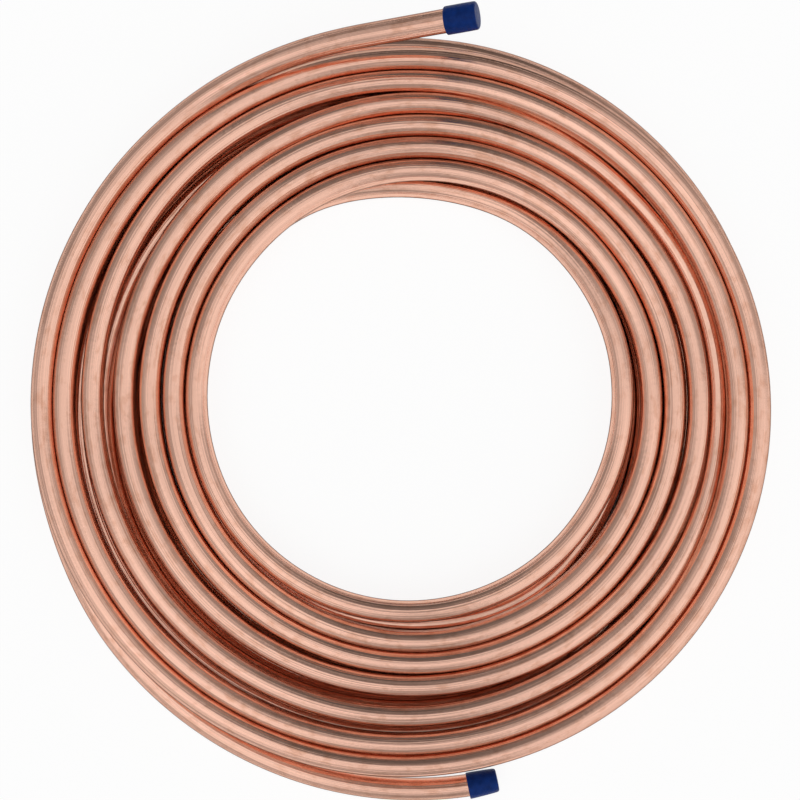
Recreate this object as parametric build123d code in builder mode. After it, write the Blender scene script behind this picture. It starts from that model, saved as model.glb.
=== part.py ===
"""Coil of half-inch copper tube, wound in two layers and lying flat, with a cap on each end of the tube.

The coil's axis is Z and the floor is Z = 0. The tube starts in the upper layer, winds inward, drops to the
lower layer at the bore and winds outward again, so both of its ends leave the coil at the rim.
"""

from build123d import *
import os
from math import cos, pi, radians, sin, tan

# Tube, as such tube is sold by its outside size
tube_diameter = 12.7
tube_wall = 0.71

# Winding
coil_bore = 235.0
turns = 7
turn_gap = 1.3

# Push-on end cap
cap_wall = 1.1
cap_end_thickness = 1.8
cap_grip = 16.0
cap_clearance = 0.05
cap_edge_chamfer = 0.9
floor_clearance = 0.3

# A tail is round where its cap grips it and many-sided from there to its root in the rim turn, which is
# sunk a little so that its sides cut the turn's cleanly
end_run_margin = 2.0
tail_sides = 16
tail_root_inset = 0.4

tube_radius = tube_diameter / 2
turn_pitch = tube_diameter + turn_gap
inner_turn_radius = coil_bore / 2 + tube_radius
outer_turn_radius = inner_turn_radius + (turns - 1) * turn_pitch
lower_layer_height = tube_radius
upper_layer_height = lower_layer_height + tube_diameter
between_layers = tube_diameter
cap_radius = tube_radius + cap_clearance + cap_wall

# Stations of each tail's centreline, from its free end to its root: the angle round the coil in degrees,
# how far it lies outside the rim turn's centreline, and how far it is lifted above its layer
upper_tail_stations = (
    (79.2, 1.9, 48.5),
    (84.2, -2.2, 43.3),
    (97.5, -4.6, 28.0),
    (110.4, -2.3, 11.0),
    (124.0, -tail_root_inset, -tail_root_inset),
)
cap_lift = cap_radius + floor_clearance - lower_layer_height
lower_tail_stations = (
    (283.8, tube_diameter + 9.3, cap_lift),
    (279.1, tube_diameter + 9.2, cap_lift),
    (255.0, tube_diameter + 5.7, (cap_lift + tail_root_inset) / 2),
    (230.0, tube_diameter + 0.6, tail_root_inset),
    (209.0, tube_diameter - 4.0, tail_root_inset),
    (187.0, tube_diameter - 8.4, tail_root_inset),
    (163.0, -tail_root_inset, tail_root_inset),
)


def half_section():
    """Outline of the upper layer above the plane between the layers: x is the radius, y the height.

    Each turn's round shows as the sides of an octagon that touch the real circle, so the crown, the
    rim and the bore stand at their true size. Neighbouring turns meet in a groove.
    """
    half_side = tube_radius * tan(pi / 8)
    crown = tube_diameter
    bore = inner_turn_radius - tube_radius
    rim = outer_turn_radius + tube_radius
    groove_depth = turn_pitch / 2 - half_side
    points = [
        (inner_turn_radius - half_side, 0),
        (bore, tube_radius - half_side),
        (bore, tube_radius + half_side),
        (inner_turn_radius - half_side, crown),
    ]
    for turn in range(turns - 1):
        radius = inner_turn_radius + turn * turn_pitch
        points.append((radius + half_side, crown))
        points.append((radius + turn_pitch / 2, crown - groove_depth))
        points.append((radius + turn_pitch - half_side, crown))
    points += [
        (outer_turn_radius + half_side, crown),
        (rim, tube_radius + half_side),
        (rim, tube_radius - half_side),
        (outer_turn_radius + half_side, 0),
    ]
    return points


def tail_points(stations, layer_height):
    """Points of a tail's centreline in space."""
    points = []
    for angle, outward, lift in stations:
        radius = outer_turn_radius + outward
        points.append(Vector(radius * cos(radians(angle)), radius * sin(radians(angle)), layer_height + lift))
    return points


def end_plane(points):
    """Plane across the tube's free end, facing out of it."""
    return Plane(origin=points[0], z_dir=points[0] - points[1])


upper_points = tail_points(upper_tail_stations, upper_layer_height)
lower_points = tail_points(lower_tail_stations, lower_layer_height)
upper_end = end_plane(upper_points)
lower_end = end_plane(lower_points)
end_run = cap_grip + end_run_margin

# The tube, one piece from end to end: its turns as one turned solid, and its two tails
with BuildPart() as tube_coil:
    with BuildSketch(Plane(origin=(0, 0, between_layers), x_dir=(1, 0, 0), z_dir=(0, -1, 0))):
        with BuildLine():
            Polyline(*half_section(), close=True)
        make_face()
        mirror(about=Plane.XZ)
    revolve(axis=Axis.Z)
    for points, end in ((upper_points, upper_end), (lower_points, lower_end)):
        run_start = points[0] - end.z_dir * end_run
        with BuildLine() as tail:
            start, along = run_start, -end.z_dir
            for point in points[2:]:
                arc = TangentArc(start, point, tangent=along)
                start, along = arc @ 1, arc % 1
        with BuildSketch(Plane(origin=run_start, z_dir=-end.z_dir)):
            RegularPolygon(tube_radius, tail_sides, major_radius=False)
        sweep(path=tail.line)
        with BuildSketch(end):
            Circle(tube_radius)
        extrude(amount=-end_run)
        with BuildSketch(end):
            Circle(tube_radius - tube_wall)
        extrude(amount=-end_run, mode=Mode.SUBTRACT)
tube_coil.part.label = "tube_coil"


def end_cap(end, label):
    """Soft cup pushed over a tube end until the end meets the cup's floor."""
    with BuildPart() as cap:
        with BuildSketch(end.offset(cap_end_thickness)):
            Circle(cap_radius)
        extrude(amount=-(cap_end_thickness + cap_grip))
        chamfer(cap.faces().sort_by(Axis(end.origin, end.z_dir))[-1].edges(), cap_edge_chamfer)
        with BuildSketch(end):
            Circle(tube_radius + cap_clearance)
        extrude(amount=-cap_grip, mode=Mode.SUBTRACT)
    cap.part.label = label
    return cap.part


os.makedirs("parts", exist_ok=True)
for piece in (tube_coil.part, end_cap(upper_end, "upper_end_cap"), end_cap(lower_end, "lower_end_cap")):
    export_step(piece, f"parts/{piece.label}.step")
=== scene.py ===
"""Copper tube coil: one length of soft copper tube wound flat in two layers, with a blue plastic cap on each end.

All lengths inside the functions are in metres, in the frame of the coil: its axis is Z and the floor is Z = 0.
An angle along the tube is in degrees and keeps growing from the lifted end to the low end, so 360 is one turn.
"""
import math

import bpy
import numpy as np
from bpy.props import FloatProperty, FloatVectorProperty, IntProperty, PointerProperty
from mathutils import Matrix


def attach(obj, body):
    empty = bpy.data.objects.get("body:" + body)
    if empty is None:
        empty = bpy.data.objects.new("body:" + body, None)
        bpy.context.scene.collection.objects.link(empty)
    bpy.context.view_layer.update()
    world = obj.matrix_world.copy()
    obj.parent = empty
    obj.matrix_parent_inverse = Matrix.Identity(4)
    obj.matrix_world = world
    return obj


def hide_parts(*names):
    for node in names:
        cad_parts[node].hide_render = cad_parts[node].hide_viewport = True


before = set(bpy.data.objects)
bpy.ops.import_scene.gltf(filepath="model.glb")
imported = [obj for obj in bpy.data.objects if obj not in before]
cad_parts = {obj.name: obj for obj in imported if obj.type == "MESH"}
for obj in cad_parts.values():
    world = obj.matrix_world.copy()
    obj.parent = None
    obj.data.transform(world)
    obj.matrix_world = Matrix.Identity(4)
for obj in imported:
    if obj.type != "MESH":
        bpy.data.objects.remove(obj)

bl_info = {
    "name": "Copper Tube Coil",
    "version": (1, 0, 0),
    "blender": (4, 5, 0),
    "location": "3D View > Sidebar > Tube Coil",
    "description": "Winds a flat two-layer coil of copper tube and fits its end caps",
    "category": "Object",
}

MM = 0.001


# Sizes and colours

class TubeCoilSizes(bpy.types.PropertyGroup):
    """Sizes of the tube, its winding and its caps."""
    tube_diameter: FloatProperty(name="Tube diameter", description="Outside diameter of the tube",
                                 default=12.7 * MM, unit="LENGTH")
    tube_wall: FloatProperty(name="Tube wall", description="Wall thickness of the tube",
                             default=0.71 * MM, unit="LENGTH")
    open_depth: FloatProperty(name="Open depth", description="How far the hollow of the tube is shaped at each end",
                              default=18.0 * MM, unit="LENGTH")
    upper_rim: FloatProperty(name="Upper rim", description="Radius of the outermost turn of the upper layer",
                             default=213.7 * MM, unit="LENGTH")
    lower_rim: FloatProperty(name="Lower rim", description="Radius of the outermost turn of the lower layer",
                             default=207.7 * MM, unit="LENGTH")
    upper_shift: FloatVectorProperty(name="Upper shift", description="How far the upper layer lies off the axis",
                                     default=(2.75 * MM, -3.25 * MM), size=2, unit="LENGTH")
    lower_shift: FloatVectorProperty(name="Lower shift", description="How far the lower layer lies off the axis",
                                     default=(0.0, -3.4 * MM), size=2, unit="LENGTH")
    lifted_end: FloatProperty(name="Lifted end", description="How high the upper end stands above its layer",
                              default=48.4 * MM, unit="LENGTH")
    low_end_out: FloatProperty(name="Low end out", description="How far the low end stands out from the rim",
                               default=9.4 * MM, unit="LENGTH")
    cap_radius: FloatProperty(name="Cap radius", description="Outside radius of an end cap at its mouth",
                              default=7.45 * MM, unit="LENGTH")
    cap_grip: FloatProperty(name="Cap grip", description="How far a cap is pushed over the tube",
                            default=16.0 * MM, unit="LENGTH")
    cap_end: FloatProperty(name="Cap end", description="Thickness of a cap's closed end",
                           default=1.8 * MM, unit="LENGTH")
    stations: IntProperty(name="Stations", description="Sections along the whole tube", default=2700)
    sides: IntProperty(name="Sides", description="Sides round the tube", default=28)


class TubeCoilColours(bpy.types.PropertyGroup):
    """Colours of the copper, the caps and the floor."""
    copper: FloatVectorProperty(name="Copper", description="Colour of the clean copper", subtype="COLOR",
                                default=(0.95, 0.565, 0.43), size=3, min=0, max=1)
    dull_copper: FloatVectorProperty(name="Dull copper", description="Colour of the copper where it is handled",
                                     subtype="COLOR", default=(0.80, 0.43, 0.30), size=3, min=0, max=1)
    cap_blue: FloatVectorProperty(name="Cap blue", description="Colour of the plastic caps", subtype="COLOR",
                                  default=(0.001, 0.022, 0.145), size=3, min=0, max=1)
    floor: FloatVectorProperty(name="Floor", description="Colour of the floor", subtype="COLOR",
                               default=(0.85, 0.85, 0.85), size=3, min=0, max=1)


# The line of the tube

def swell(angle, middle, half_width):
    """One smooth hump with a broad top: e to the power of minus the fourth power of the distance in half widths."""
    return np.exp(-((angle - middle) / half_width) ** 4)


def ease(value, low, high):
    """0 below low, 1 above high, and three times the square less twice the cube of the share between them."""
    t = np.clip((value - low) / (high - low), 0, 1)
    return t * t * (3 - 2 * t)


# Loose places of the upper layer: the angle at the middle, the half width, and how far the next turn in
# stands off there, in millimetres. Every turn further in is moved by as much. The places below 0 lie over
# the stretch of the third turn that has sunk, where the turns on both sides of it close in.
UPPER_LOOSE = (
    (565, 57, 1.0), (604, 91, 3.5), (761, 33, -1.2), (818, 64, 1.5),
    (838, 30, 1.2), (931, 87, 5.7), (1114, 73, -3.3), (1139, 35, 0.9),
    (1279, 55, 2.0), (1308, 47, 0.6), (1439, 39, 1.5), (1598, 63, 1.0),
    (1787, 43, 0.6), (1951, 73, 0.5), (2085, 66, 1.9), (2135, 77, 3.9),
)
LOWER_LOOSE = ((4325, 52, 12.4), (3485, 60, 0.6), (3105, 85, 14.2), (2990, 55, 2.6))

# Where things happen along the tube, in degrees: a pair is where a change begins and where it ends
LIFTED_TIP, LOW_TIP = 79.2, 4963.8
TAIL_ROOT, TAIL_SPAN, TAIL_STRAIGHT = 133, 54, 94.7
BORE_EASED, BORE_BLEND, BORE_DROP = (2500, 2590), (2575, 2640), (2528, 2602)
SINK_FALL, SINK_RISE = (1030, 1078), (1112, 1176)
LOW_TAIL_OUT, LOW_TAIL_UP = (4872, 4985), (4905, 4945)

# Single bows of the line: middle and half width in degrees, and millimetres outward
UPPER_BOWS = ((1080, 45, 3.7), (1155, 30, 2.2))
LOWER_BOWS = ((4727, 38, 1.6), (4866, 26, -2.25))

# Amounts in millimetres: the last upper turn eases out at the bore, the third turn sinks, the lifted tail
# bows inward, and a cap keeps clear of the floor
BORE_EASE, SINK_DEPTH, TAIL_BOW, CAP_CLEAR = 3.5, 9.4, 61, 0.3
LINE_SAMPLES = 24000
MOST_TURNS = 7


def turn_radius(angle, rim, rim_angle, shift, pitch, loose, inward):
    """Radius of a layer's spiral: the rim, plus the layer's shift off the axis, less one pitch a turn, less
    every opening between the turns outside it. inward is 1 where the tube winds inward and -1 outward."""
    bow = np.radians(angle)
    radius = rim + shift[0] * np.cos(bow) + shift[1] * np.sin(bow)
    radius = radius - inward * pitch * (angle - rim_angle) / 360
    for middle, half_width, opening in loose:
        for turn in range(1, MOST_TURNS + 1):
            radius = radius - opening * MM * swell(angle - inward * 360 * turn, middle, half_width)
    return radius


def tube_line(sizes):
    """Points of the tube's centre line at even steps, and the distance along it to each.

    Radius and height are functions of the angle. The upper layer's spiral blends into the lower one at the
    bore, while the height falls by one tube diameter. The third turn sinks for a short stretch. The lifted
    tail rises by the square of its length up to its middle and evenly after it, and bows inward by the cube
    of its length times what is left of it, and its last stretch is straight. The low tail eases out of the
    rim and up to the height of its cap.
    """
    angle = np.linspace(LIFTED_TIP, LOW_TIP, LINE_SAMPLES)
    pitch = sizes.tube_diameter
    upper = turn_radius(angle, sizes.upper_rim, 90, sizes.upper_shift, pitch, UPPER_LOOSE, 1)
    upper = upper + BORE_EASE * MM * ease(angle, *BORE_EASED)
    upper = upper + MM * sum(out * swell(angle, middle, width) for middle, width, out in UPPER_BOWS)
    lower = turn_radius(angle, sizes.lower_rim, 4680, sizes.lower_shift, pitch, LOWER_LOOSE, -1)
    lower = lower + MM * sum(out * swell(angle, middle, width) for middle, width, out in LOWER_BOWS)
    radius = upper + (lower - upper) * ease(angle, *BORE_BLEND)
    tail = np.clip((TAIL_ROOT - angle) / TAIL_SPAN, 0, None)
    radius = radius - TAIL_BOW * MM * tail ** 3 * (1.03 - tail)
    radius = radius + sizes.low_end_out * ease(angle, *LOW_TAIL_OUT)

    half = sizes.tube_diameter / 2
    height = half * (3 - 2 * ease(angle, *BORE_DROP))
    height = height - SINK_DEPTH * MM * ease(angle, *SINK_FALL) * (1 - ease(angle, *SINK_RISE))
    height = height + sizes.lifted_end * np.where(tail < 0.5, 1.33 * tail ** 2, 1.33 * (tail - 0.25))
    height = height + (sizes.cap_radius + CAP_CLEAR * MM - half) * ease(angle, *LOW_TAIL_UP)

    bow = np.radians(angle)
    line = np.stack([radius * np.cos(bow), radius * np.sin(bow), height], axis=1)
    start = np.searchsorted(angle, TAIL_STRAIGHT)
    onward = (line[start] - line[start + 1]) / np.linalg.norm(line[start] - line[start + 1])
    reach = np.linalg.norm(line[:start] - line[start], axis=1)
    line[:start] = line[start] + reach[:, None] * onward
    along = np.concatenate([[0], np.cumsum(np.linalg.norm(np.diff(line, axis=0), axis=1))])
    even = np.linspace(0, along[-1], sizes.stations)
    points = np.stack([np.interp(even, along, line[:, axis]) for axis in range(3)], axis=1)
    return points, even


def line_frames(points):
    """Unit vectors along the line, level across it, and square to both."""
    forward = np.gradient(points, axis=0)
    forward /= np.linalg.norm(forward, axis=1)[:, None]
    across = np.cross(forward, (0, 0, 1))
    across /= np.linalg.norm(across, axis=1)[:, None]
    return forward, across, np.cross(across, forward)


# Meshes

def ring_surface(centres, across, upward, radii, sides):
    """Grid of rings: centre plus radius times cosine across plus radius times sine upward. The first and last
    rings are closed by a point in their middle."""
    turn = np.linspace(0, 2 * np.pi, sides, endpoint=False)
    spokes = across[:, None] * np.cos(turn)[None, :, None] + upward[:, None] * np.sin(turn)[None, :, None]
    rings = centres[:, None] + radii[:, None, None] * spokes
    rows = len(centres)
    points = np.concatenate([rings.reshape(-1, 3), centres[:1], centres[-1:]])
    grid = np.arange(rows * sides).reshape(rows, sides)
    after = np.roll(grid, -1, axis=1)
    quads = np.stack([grid[:-1], grid[1:], after[1:], after[:-1]], axis=2).reshape(-1, 4)
    first = np.stack([grid[0], after[0], np.full(sides, rows * sides)], axis=1)
    last = np.stack([after[-1], grid[-1], np.full(sides, rows * sides + 1)], axis=1)
    return points, quads, np.concatenate([first, last])


def make_piece(name, points, quads, triangles, material):
    """Object with a smooth closed mesh of the given points and faces, standing at the origin."""
    mesh = bpy.data.meshes.new(name)
    mesh.from_pydata(points.tolist(), [], quads.tolist() + triangles.tolist())
    mesh.polygons.foreach_set("use_smooth", np.ones(len(mesh.polygons), dtype=bool))
    mesh.materials.append(material)
    mesh.update()
    piece = bpy.data.objects.new(name, mesh)
    bpy.context.scene.collection.objects.link(piece)
    return piece


def add_line_attribute(piece, values):
    """Stores for each vertex its place on the straightened tube: two lengths round the section, one along it."""
    attribute = piece.data.attributes.new("straight_tube", "FLOAT_VECTOR", "POINT")
    attribute.data.foreach_set("vector", values.astype(np.float32).ravel())


def tube_rings(sizes, length):
    """Distance along the line and radius of every ring, from the bottom of the hollow at one end, out over the
    rounded rim, along the outside and back into the other end."""
    outer = sizes.tube_diameter / 2
    inner = outer - sizes.tube_wall
    edge = 0.2 * MM
    end = np.array([
        (sizes.open_depth, inner), (edge, inner), (0.3 * edge, inner + 0.3 * edge), (0, inner + edge),
        (0, outer - edge), (0.3 * edge, outer - 0.3 * edge), (edge, outer),
    ])
    body = np.linspace(2 * MM, length - 2 * MM, sizes.stations - 14)
    along = np.concatenate([end[:, 0], body, length - end[::-1, 0]])
    return along, np.concatenate([end[:, 1], np.full(len(body), outer), end[::-1, 1]])


def cap_profile(sizes, taper, bulge):
    """Distance behind the closed end and radius of a cap's rings, from its inner floor round the lip to the
    middle of its closed end. The outside narrows by taper to the closed end and swells by bulge between."""
    inner = sizes.tube_diameter / 2 + 0.05 * MM
    depth = sizes.cap_grip + sizes.cap_end
    inside = [(sizes.cap_end, 0.5 * inner), (sizes.cap_end, 0.96 * inner), (sizes.cap_end + 0.3 * MM, inner)]
    lip = np.linspace(0, np.pi, 7)
    wall = sizes.cap_radius - inner
    lip_rings = [(depth - wall / 2 * (1 - math.sin(a)), inner + wall / 2 * (1 - math.cos(a))) for a in lip]
    share = np.linspace(0.97, 0.1, 12)
    side = [(depth * s, sizes.cap_radius - taper * (1 - s) ** 1.5 + bulge * math.sin(math.pi * s)) for s in share]
    rounding = 1.3 * MM
    end_radius = sizes.cap_radius - taper
    turn = np.linspace(0, np.pi / 2, 6)
    corner = [(rounding * (1 - math.sin(a)) + 0.15 * MM, end_radius - rounding * (1 - math.cos(a))) for a in turn]
    face = [(0.08 * MM, 0.6 * end_radius), (0.02 * MM, 0.3 * end_radius)]
    rings = np.array(inside + lip_rings + side + corner + face)
    return rings[:, 0], rings[:, 1]


# Materials

def new_material(name):
    """Empty node material with its shader and output joined."""
    material = bpy.data.materials.new(name)
    material.use_nodes = True
    nodes = material.node_tree.nodes
    nodes.clear()
    output = nodes.new("ShaderNodeOutputMaterial")
    return material, nodes, material.node_tree.links, output


def streak_group():
    """Group that gives a streaky value: noise on the given place, stretched differently round and along."""
    group = bpy.data.node_groups.new("streaks", "ShaderNodeTree")
    sockets = group.interface
    sockets.new_socket("Place", in_out="INPUT", socket_type="NodeSocketVector")
    sockets.new_socket("Fineness", in_out="INPUT", socket_type="NodeSocketVector")
    sockets.new_socket("Detail", in_out="INPUT", socket_type="NodeSocketFloat")
    sockets.new_socket("Low", in_out="INPUT", socket_type="NodeSocketFloat")
    sockets.new_socket("High", in_out="INPUT", socket_type="NodeSocketFloat")
    sockets.new_socket("Value", in_out="OUTPUT", socket_type="NodeSocketFloat")
    nodes, links = group.nodes, group.links
    entry = nodes.new("NodeGroupInput")
    scale = nodes.new("ShaderNodeVectorMath")
    scale.operation = "MULTIPLY"
    noise = nodes.new("ShaderNodeTexNoise")
    noise.inputs["Scale"].default_value = 1.0
    spread = nodes.new("ShaderNodeMapRange")
    spread.inputs["From Min"].default_value = 0.3
    spread.inputs["From Max"].default_value = 0.7
    leave = nodes.new("NodeGroupOutput")
    links.new(entry.outputs["Place"], scale.inputs[0])
    links.new(entry.outputs["Fineness"], scale.inputs[1])
    links.new(scale.outputs["Vector"], noise.inputs["Vector"])
    links.new(entry.outputs["Detail"], noise.inputs["Detail"])
    links.new(noise.outputs["Fac"], spread.inputs["Value"])
    links.new(entry.outputs["Low"], spread.inputs["To Min"])
    links.new(entry.outputs["High"], spread.inputs["To Max"])
    links.new(spread.outputs["Result"], leave.inputs["Value"])
    return group


def add_streaks(nodes, links, group, place, fineness, detail, low=0.0, high=1.0):
    """Places the streak group in a material with its own values, and gives its output. The fineness is in
    waves a metre."""
    node = nodes.new("ShaderNodeGroup")
    node.node_tree = group
    links.new(place, node.inputs["Place"])
    node.inputs["Fineness"].default_value = fineness
    node.inputs["Detail"].default_value = detail
    node.inputs["Low"].default_value = low
    node.inputs["High"].default_value = high
    return node.outputs["Value"]


def copper_material(colours, group):
    """Bright drawn copper: clean and handled copper in long streaks, fine draw lines, small specks, and faint bands
    across.
    The dark specular tint is painted shade: it darkens the metal's reflection at its outline in place of dark
    surroundings."""
    material, nodes, links, output = new_material("bright_drawn_copper")
    shader = nodes.new("ShaderNodeBsdfPrincipled")
    place = nodes.new("ShaderNodeAttribute")
    place.attribute_name = "straight_tube"
    where = place.outputs["Vector"]
    patches = add_streaks(nodes, links, group, where, fineness=(90, 90, 9), detail=3)
    lines = add_streaks(nodes, links, group, where, fineness=(900, 900, 2.5), detail=5)
    bands = add_streaks(nodes, links, group, where, fineness=(200, 200, 330), detail=3)
    specks = add_streaks(nodes, links, group, where, fineness=(260, 260, 120), detail=4, low=-1.1, high=0.5)
    colour = nodes.new("ShaderNodeMix")
    colour.data_type = "RGBA"
    colour.inputs["A"].default_value = (*colours.copper, 1)
    colour.inputs["B"].default_value = (*colours.dull_copper, 1)
    amount = nodes.new("ShaderNodeMath")
    amount.operation = "MULTIPLY_ADD"
    links.new(patches, amount.inputs[0])
    links.new(lines, amount.inputs[1])
    links.new(specks, amount.inputs[2])
    amount.use_clamp = True
    links.new(amount.outputs["Value"], colour.inputs["Factor"])
    links.new(colour.outputs["Result"], shader.inputs["Base Color"])
    rough = nodes.new("ShaderNodeMapRange")
    rough.inputs["To Min"].default_value = 0.08
    rough.inputs["To Max"].default_value = 0.16
    links.new(patches, rough.inputs["Value"])
    links.new(rough.outputs["Result"], shader.inputs["Roughness"])
    shader.inputs["Metallic"].default_value = 1.0
    # Painted shade: the dark specular tint darkens the reflection at the metal's outline, standing in for dark
    # surroundings
    shader.inputs["Specular Tint"].default_value = (0.10, 0.13, 0.15, 1)
    relief = nodes.new("ShaderNodeMath")
    relief.operation = "MULTIPLY_ADD"
    links.new(bands, relief.inputs[0])
    relief.inputs[1].default_value = 0.16
    links.new(lines, relief.inputs[2])
    bump = nodes.new("ShaderNodeBump")
    bump.inputs["Strength"].default_value = 0.8
    bump.inputs["Distance"].default_value = 0.0002
    links.new(relief.outputs["Value"], bump.inputs["Height"])
    links.new(bump.outputs["Normal"], shader.inputs["Normal"])
    links.new(shader.outputs["BSDF"], output.inputs["Surface"])
    return material


def cap_material(colours, group):
    """Soft dark blue plastic with a satin sheen, a faint orange-peel skin and a few paler scuffs."""
    material, nodes, links, output = new_material("soft_blue_plastic")
    shader = nodes.new("ShaderNodeBsdfPrincipled")
    place = nodes.new("ShaderNodeTexCoord")
    where = place.outputs["Object"]
    scuffs = add_streaks(nodes, links, group, where, fineness=(260, 260, 260), detail=5)
    peel = add_streaks(nodes, links, group, where, fineness=(900, 900, 900), detail=3)
    colour = nodes.new("ShaderNodeMix")
    colour.data_type = "RGBA"
    colour.inputs["A"].default_value = (*colours.cap_blue, 1)
    colour.inputs["B"].default_value = tuple(1.5 * c + 0.002 for c in colours.cap_blue) + (1,)
    links.new(scuffs, colour.inputs["Factor"])
    links.new(colour.outputs["Result"], shader.inputs["Base Color"])
    rough = nodes.new("ShaderNodeMapRange")
    rough.inputs["To Min"].default_value = 0.32
    rough.inputs["To Max"].default_value = 0.48
    links.new(scuffs, rough.inputs["Value"])
    links.new(rough.outputs["Result"], shader.inputs["Roughness"])
    shader.inputs["Specular IOR Level"].default_value = 0.12
    bump = nodes.new("ShaderNodeBump")
    bump.inputs["Strength"].default_value = 0.5
    bump.inputs["Distance"].default_value = 0.0003
    links.new(peel, bump.inputs["Height"])
    links.new(bump.outputs["Normal"], shader.inputs["Normal"])
    links.new(shader.outputs["BSDF"], output.inputs["Surface"])
    return material


# Stage

def between(nodes, links, value, low, high, soft):
    """1 where the value lies between low and high, falling smoothly to 0 over the softness."""
    sides = []
    for start, end in ((low - soft, low + soft), (high + soft, high - soft)):
        side = nodes.new("ShaderNodeMapRange")
        side.interpolation_type = "SMOOTHSTEP"
        links.new(value, side.inputs["Value"])
        side.inputs["From Min"].default_value = start
        side.inputs["From Max"].default_value = end
        sides.append(side.outputs["Result"])
    both = nodes.new("ShaderNodeMath")
    both.operation = "MULTIPLY"
    links.new(sides[0], both.inputs[0])
    links.new(sides[1], both.inputs[1])
    return both.outputs["Value"]


def sees_background(nodes, links):
    """Value that is 1 for camera, glossy and transmission rays and 0 for the rest."""
    path = nodes.new("ShaderNodeLightPath")
    value = path.outputs["Is Camera Ray"]
    for ray in ("Is Glossy Ray", "Is Transmission Ray"):
        most = nodes.new("ShaderNodeMath")
        most.operation = "MAXIMUM"
        links.new(value, most.inputs[0])
        links.new(path.outputs[ray], most.inputs[1])
        value = most.outputs["Value"]
    return value


def open_floor(nodes, links):
    """Value that is 1 on the open floor and falls to 0 under the ring of the coil, which shades it. The ring's
    middle is a little off the axis, as the turns are."""
    place = nodes.new("ShaderNodeTexCoord")
    shift = nodes.new("ShaderNodeVectorMath")
    shift.operation = "SUBTRACT"
    links.new(place.outputs["Object"], shift.inputs[0])
    shift.inputs[1].default_value = (0.002, -0.001, 0)
    length = nodes.new("ShaderNodeVectorMath")
    length.operation = "LENGTH"
    links.new(shift.outputs["Vector"], length.inputs[0])
    ring = between(nodes, links, length.outputs["Value"], low=0.128, high=0.207, soft=0.004)
    inverse = nodes.new("ShaderNodeMath")
    inverse.operation = "SUBTRACT"
    inverse.inputs[0].default_value = 1.0
    links.new(ring, inverse.inputs[1])
    return inverse.outputs["Value"]


def floor_material(colours):
    """Pale matt floor, shown almost white to the camera and in reflections, with its shadows kept."""
    material, nodes, links, output = new_material("pale_floor")
    matt = nodes.new("ShaderNodeBsdfDiffuse")
    matt.inputs["Color"].default_value = (*colours.floor, 1)
    white = nodes.new("ShaderNodeEmission")
    white.inputs["Strength"].default_value = 1.1
    share = nodes.new("ShaderNodeMath")
    share.operation = "MULTIPLY"
    links.new(sees_background(nodes, links), share.inputs[0])
    links.new(open_floor(nodes, links), share.inputs[1])
    lit = nodes.new("ShaderNodeMath")
    lit.operation = "MULTIPLY"
    links.new(share.outputs["Value"], lit.inputs[0])
    lit.inputs[1].default_value = 0.8
    mix = nodes.new("ShaderNodeMixShader")
    links.new(lit.outputs["Value"], mix.inputs["Fac"])
    links.new(matt.outputs["BSDF"], mix.inputs[1])
    links.new(white.outputs["Emission"], mix.inputs[2])
    links.new(mix.outputs["Shader"], output.inputs["Surface"])
    return material


# Soft boxes and dark screens round the table: compass direction of the middle and half width, lowest and
# highest distance from straight up, softness of the edges, all in degrees, and the light that they add.
SOFT_BOXES = (
    (326, 38, 32, 96, 9, 0.52),
    (236, 32, 6, 62, 8, 0.38),
)
DARK_SCREENS = (
    (93, 31, 14, 120, 3, 0.60),
    (70, 34, 24, 120, 14, 0.34),
    (146, 22, 7, 120, 5, 0.34),
    (272, 11, 10, 75, 4, 0.34),
)


def patch_of_sky(nodes, links, direction, from_top, middle, half_width, low, high, soft):
    """1 inside a patch of the surroundings and 0 outside it. The direction is turned so that the middle of the
    patch is at 0 degrees, and the two angles are taken from it."""
    turn = nodes.new("ShaderNodeVectorRotate")
    turn.rotation_type = "Z_AXIS"
    turn.inputs["Angle"].default_value = -math.radians(middle)
    links.new(direction, turn.inputs["Vector"])
    parts = nodes.new("ShaderNodeSeparateXYZ")
    links.new(turn.outputs["Vector"], parts.inputs["Vector"])
    compass = nodes.new("ShaderNodeMath")
    compass.operation = "ARCTAN2"
    links.new(parts.outputs["Y"], compass.inputs[0])
    links.new(parts.outputs["X"], compass.inputs[1])
    rad = math.radians
    wide = between(nodes, links, compass.outputs["Value"], -rad(half_width), rad(half_width), rad(soft))
    tall = between(nodes, links, from_top, rad(low), rad(high), rad(soft))
    both = nodes.new("ShaderNodeMath")
    both.operation = "MULTIPLY"
    links.new(wide, both.inputs[0])
    links.new(tall, both.inputs[1])
    return both.outputs["Value"]


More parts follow.
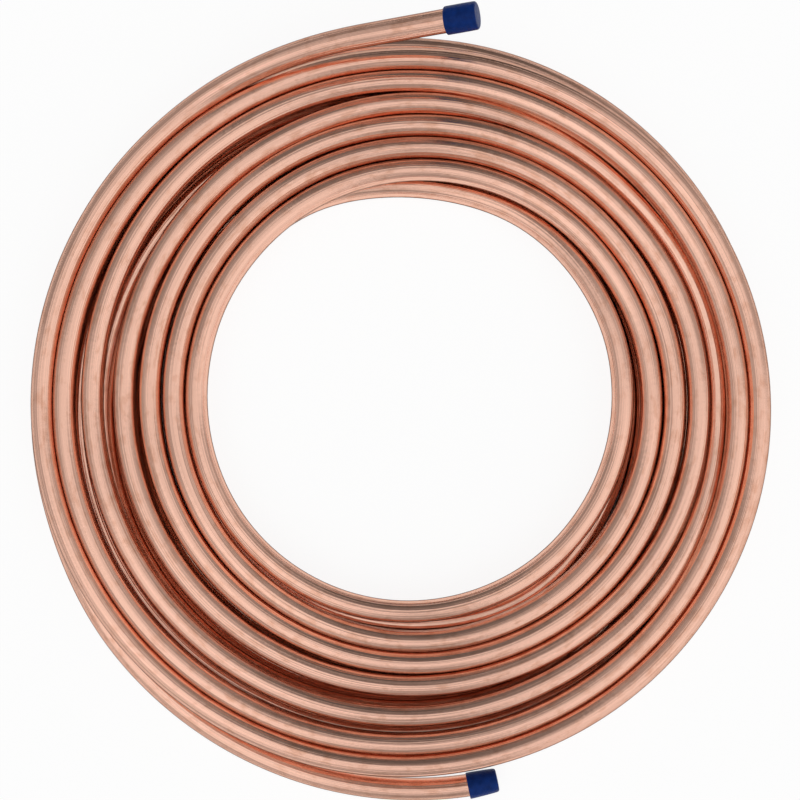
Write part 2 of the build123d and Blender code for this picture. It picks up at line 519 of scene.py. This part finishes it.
def build_world():
    """Plain soft surroundings: a pale room that darkens a little to the sides, with soft boxes that add light
    and dark screens that take it away."""
    world = bpy.data.worlds.new("soft_room")
    bpy.context.scene.world = world
    world.use_nodes = True
    nodes, links = world.node_tree.nodes, world.node_tree.links
    nodes.clear()
    place = nodes.new("ShaderNodeTexCoord")
    direction = place.outputs["Generated"]
    parts = nodes.new("ShaderNodeSeparateXYZ")
    links.new(direction, parts.inputs["Vector"])
    from_top = nodes.new("ShaderNodeMath")
    from_top.operation = "ARCCOSINE"
    links.new(parts.outputs["Z"], from_top.inputs[0])
    level = nodes.new("ShaderNodeMapRange")
    links.new(from_top.outputs["Value"], level.inputs["Value"])
    level.interpolation_type = "SMOOTHSTEP"
    level.inputs["From Min"].default_value = math.radians(12)
    level.inputs["From Max"].default_value = math.radians(66)
    level.inputs["To Min"].default_value = 1.06
    level.inputs["To Max"].default_value = 0.54
    light = level.outputs["Result"]
    for *shape, amount in SOFT_BOXES:
        patch = patch_of_sky(nodes, links, direction, from_top.outputs["Value"], *shape)
        add = nodes.new("ShaderNodeMath")
        add.operation = "MULTIPLY_ADD"
        links.new(patch, add.inputs[0])
        add.inputs[1].default_value = amount
        links.new(light, add.inputs[2])
        light = add.outputs["Value"]
    for *shape, amount in DARK_SCREENS:
        patch = patch_of_sky(nodes, links, direction, from_top.outputs["Value"], *shape)
        keep = nodes.new("ShaderNodeMath")
        keep.operation = "MULTIPLY_ADD"
        links.new(patch, keep.inputs[0])
        keep.inputs[1].default_value = -amount
        keep.inputs[2].default_value = 1.0
        dim = nodes.new("ShaderNodeMath")
        dim.operation = "MULTIPLY"
        links.new(light, dim.inputs[0])
        links.new(keep.outputs["Value"], dim.inputs[1])
        light = dim.outputs["Value"]
    room = nodes.new("ShaderNodeBackground")
    links.new(light, room.inputs["Strength"])
    output = nodes.new("ShaderNodeOutputWorld")
    links.new(room.outputs["Background"], output.inputs["Surface"])


def build_floor(colours):
    """Square floor under the coil."""
    reach = 12
    corners = [(-reach, -reach, 0), (reach, -reach, 0), (reach, reach, 0), (-reach, reach, 0)]
    mesh = bpy.data.meshes.new("floor")
    mesh.from_pydata(corners, [], [(0, 1, 2, 3)])
    mesh.materials.append(floor_material(colours))
    floor = bpy.data.objects.new("floor", mesh)
    bpy.context.scene.collection.objects.link(floor)


def build_camera():
    """Camera straight above the coil, its frame 462.4 mm wide in the plane of the upper layer's centre line."""
    height, plane, width = 655.0, 19.05, 462.4
    camera = bpy.data.cameras.new("camera")
    camera.lens = camera.sensor_width * (height - plane) / width
    camera.clip_start = 0.01
    holder = bpy.data.objects.new("camera", camera)
    holder.location = (-0.87 * MM, 0.81 * MM, height * MM)
    bpy.context.scene.collection.objects.link(holder)
    bpy.context.scene.camera = holder


# Operators

class WindTube(bpy.types.Operator):
    """Wind the copper tube from its lifted end to its low end"""
    bl_idname = "tube_coil.wind_tube"
    bl_label = "Wind the Tube"

    def execute(self, context):
        sizes = context.scene.tube_coil_sizes
        colours = context.scene.tube_coil_colours
        points, even = tube_line(sizes)
        _, across, upward = line_frames(points)
        along, radii = tube_rings(sizes, even[-1])
        centres = np.stack([np.interp(along, even, points[:, axis]) for axis in range(3)], axis=1)
        across = np.stack([np.interp(along, even, across[:, axis]) for axis in range(3)], axis=1)
        upward = np.stack([np.interp(along, even, upward[:, axis]) for axis in range(3)], axis=1)
        group = bpy.data.node_groups.get("streaks") or streak_group()
        mesh = ring_surface(centres, across, upward, radii, sizes.sides)
        tube = make_piece("copper_tube", *mesh, copper_material(colours, group))
        turn = np.linspace(0, 2 * np.pi, sizes.sides, endpoint=False)
        straight = np.stack([
            radii[:, None] * np.cos(turn), radii[:, None] * np.sin(turn), np.repeat(along[:, None], sizes.sides, 1),
        ], axis=2).reshape(-1, 3)
        ends = np.array([(0, 0, along[0]), (0, 0, along[-1])])
        add_line_attribute(tube, np.concatenate([straight, ends]))
        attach(tube, "root")
        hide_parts("tube_coil")
        return {"FINISHED"}


class FitEndCaps(bpy.types.Operator):
    """Push a soft cap over each end of the tube"""
    bl_idname = "tube_coil.fit_end_caps"
    bl_label = "Fit the End Caps"

    def execute(self, context):
        sizes = context.scene.tube_coil_sizes
        group = bpy.data.node_groups.get("streaks") or streak_group()
        material = cap_material(context.scene.tube_coil_colours, group)
        points, _ = tube_line(sizes)
        forward, across, upward = line_frames(points)
        for name, node, end, out, taper, bulge in (
            ("lifted_end_cap", "upper_end_cap", 0, -1, 0.1 * MM, 0.05 * MM),
            ("low_end_cap", "lower_end_cap", -1, 1, 0.85 * MM, 0.0),
        ):
            behind, radii = cap_profile(sizes, taper, bulge)
            tip = points[end] + out * forward[end] * sizes.cap_end
            centres = tip - out * behind[:, None] * forward[end]
            rows = len(behind)
            mesh = ring_surface(centres, np.repeat(across[end][None], rows, 0) * out,
                                np.repeat(upward[end][None], rows, 0), radii, 48)
            cap = make_piece(name, *mesh, material)
            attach(cap, "root")
            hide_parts(node)
        return {"FINISHED"}


class SetStage(bpy.types.Operator):
    """Lay the floor, light the coil and place the camera above it"""
    bl_idname = "tube_coil.set_stage"
    bl_label = "Set the Stage"

    def execute(self, context):
        build_floor(context.scene.tube_coil_colours)
        build_world()
        build_camera()
        context.scene.view_settings.view_transform = "Standard"
        return {"FINISHED"}


class TubeCoilPanel(bpy.types.Panel):
    """Panel with the coil's sizes, its colours and the steps that build it"""
    bl_idname = "VIEW3D_PT_tube_coil"
    bl_label = "Copper Tube Coil"
    bl_space_type = "VIEW_3D"
    bl_region_type = "UI"
    bl_category = "Tube Coil"

    def draw(self, context):
        layout = self.layout
        for group in (context.scene.tube_coil_sizes, context.scene.tube_coil_colours):
            box = layout.box()
            for name in group.bl_rna.properties.keys():
                if name not in ("rna_type", "name"):
                    box.prop(group, name)
        for operator in (WindTube, FitEndCaps, SetStage):
            layout.operator(operator.bl_idname)


CLASSES = (TubeCoilSizes, TubeCoilColours, WindTube, FitEndCaps, SetStage, TubeCoilPanel)


def register():
    """Adds the classes and the two groups of settings."""
    for cls in CLASSES:
        bpy.utils.register_class(cls)
    bpy.types.Scene.tube_coil_sizes = PointerProperty(type=TubeCoilSizes)
    bpy.types.Scene.tube_coil_colours = PointerProperty(type=TubeCoilColours)


def unregister():
    """Removes what register added."""
    del bpy.types.Scene.tube_coil_colours
    del bpy.types.Scene.tube_coil_sizes
    for cls in reversed(CLASSES):
        bpy.utils.unregister_class(cls)


def main():
    """Builds the coil and its stage."""
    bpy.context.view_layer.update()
    register()
    bpy.ops.tube_coil.set_stage()
    bpy.ops.tube_coil.wind_tube()
    bpy.ops.tube_coil.fit_end_caps()


if __name__ == "__main__":
    main()
